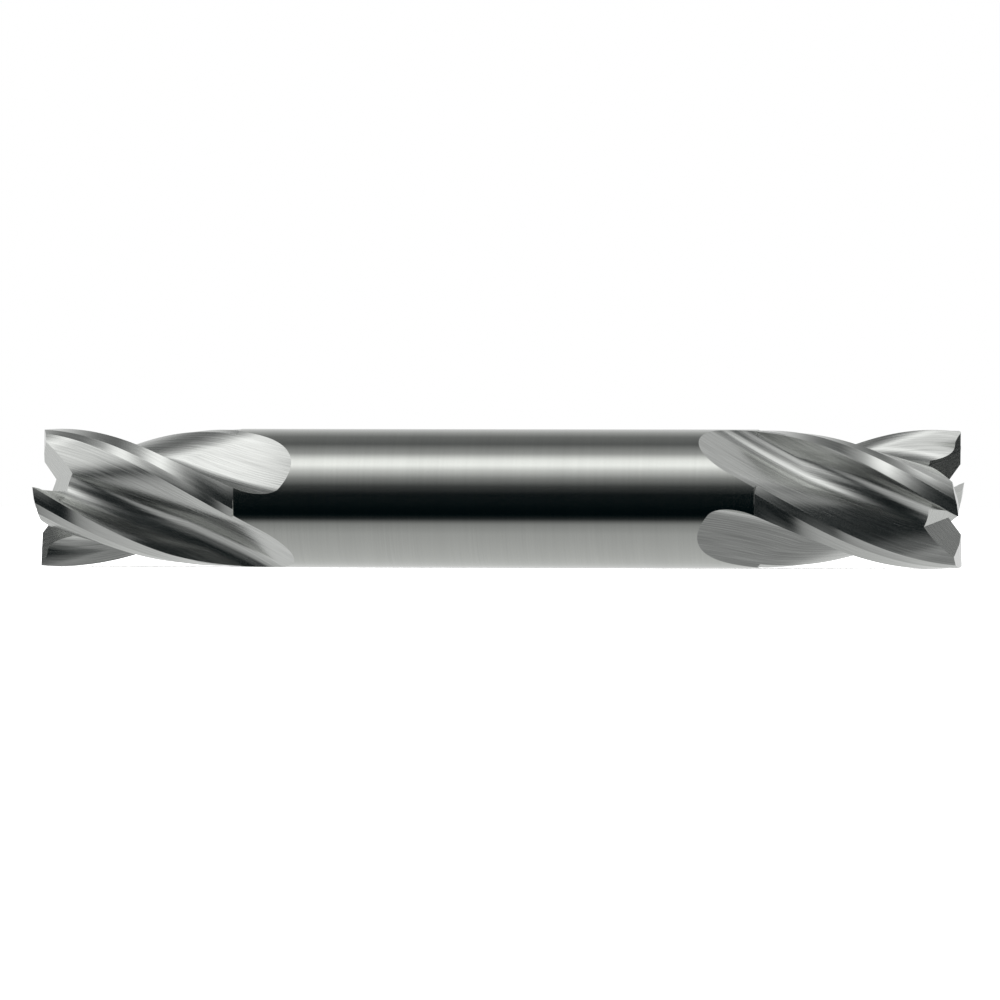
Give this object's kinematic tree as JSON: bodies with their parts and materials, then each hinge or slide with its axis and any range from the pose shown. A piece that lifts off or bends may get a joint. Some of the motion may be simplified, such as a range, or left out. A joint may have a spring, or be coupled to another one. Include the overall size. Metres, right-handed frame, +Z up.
{
  "type": "end mill",
  "caption": "Double-ended stub end mill of ground solid carbide: plain round shank with a right-hand helical square cutting end at each tip.",
  "frame": {"origin": "on the tool's axis, halfway between the two tips", "axes": "+X along the tool's axis towards one tip, +Z up as the tool lies, -Y towards the front of the tool as it lies"},
  "size_m": [0.0636, 0.0096, 0.0096],
  "materials": {
    "ground_shank": "centreless-ground bright carbide",
    "ground_flute": "flute-ground bright carbide, grinding lines along the flute",
    "ground_tooth": "relief-ground bright carbide"
  },
  "bodies": {
    "root": {"shank": "ground_shank", "left_web": "ground_flute", "right_web": "ground_flute", "left_tooth_1": "ground_tooth", "left_tooth_2": "ground_tooth", "left_tooth_3": "ground_tooth", "left_tooth_4": "ground_tooth", "right_tooth_1": "ground_tooth", "right_tooth_2": "ground_tooth", "right_tooth_3": "ground_tooth", "right_tooth_4": "ground_tooth"}
  },
  "joints": []
}
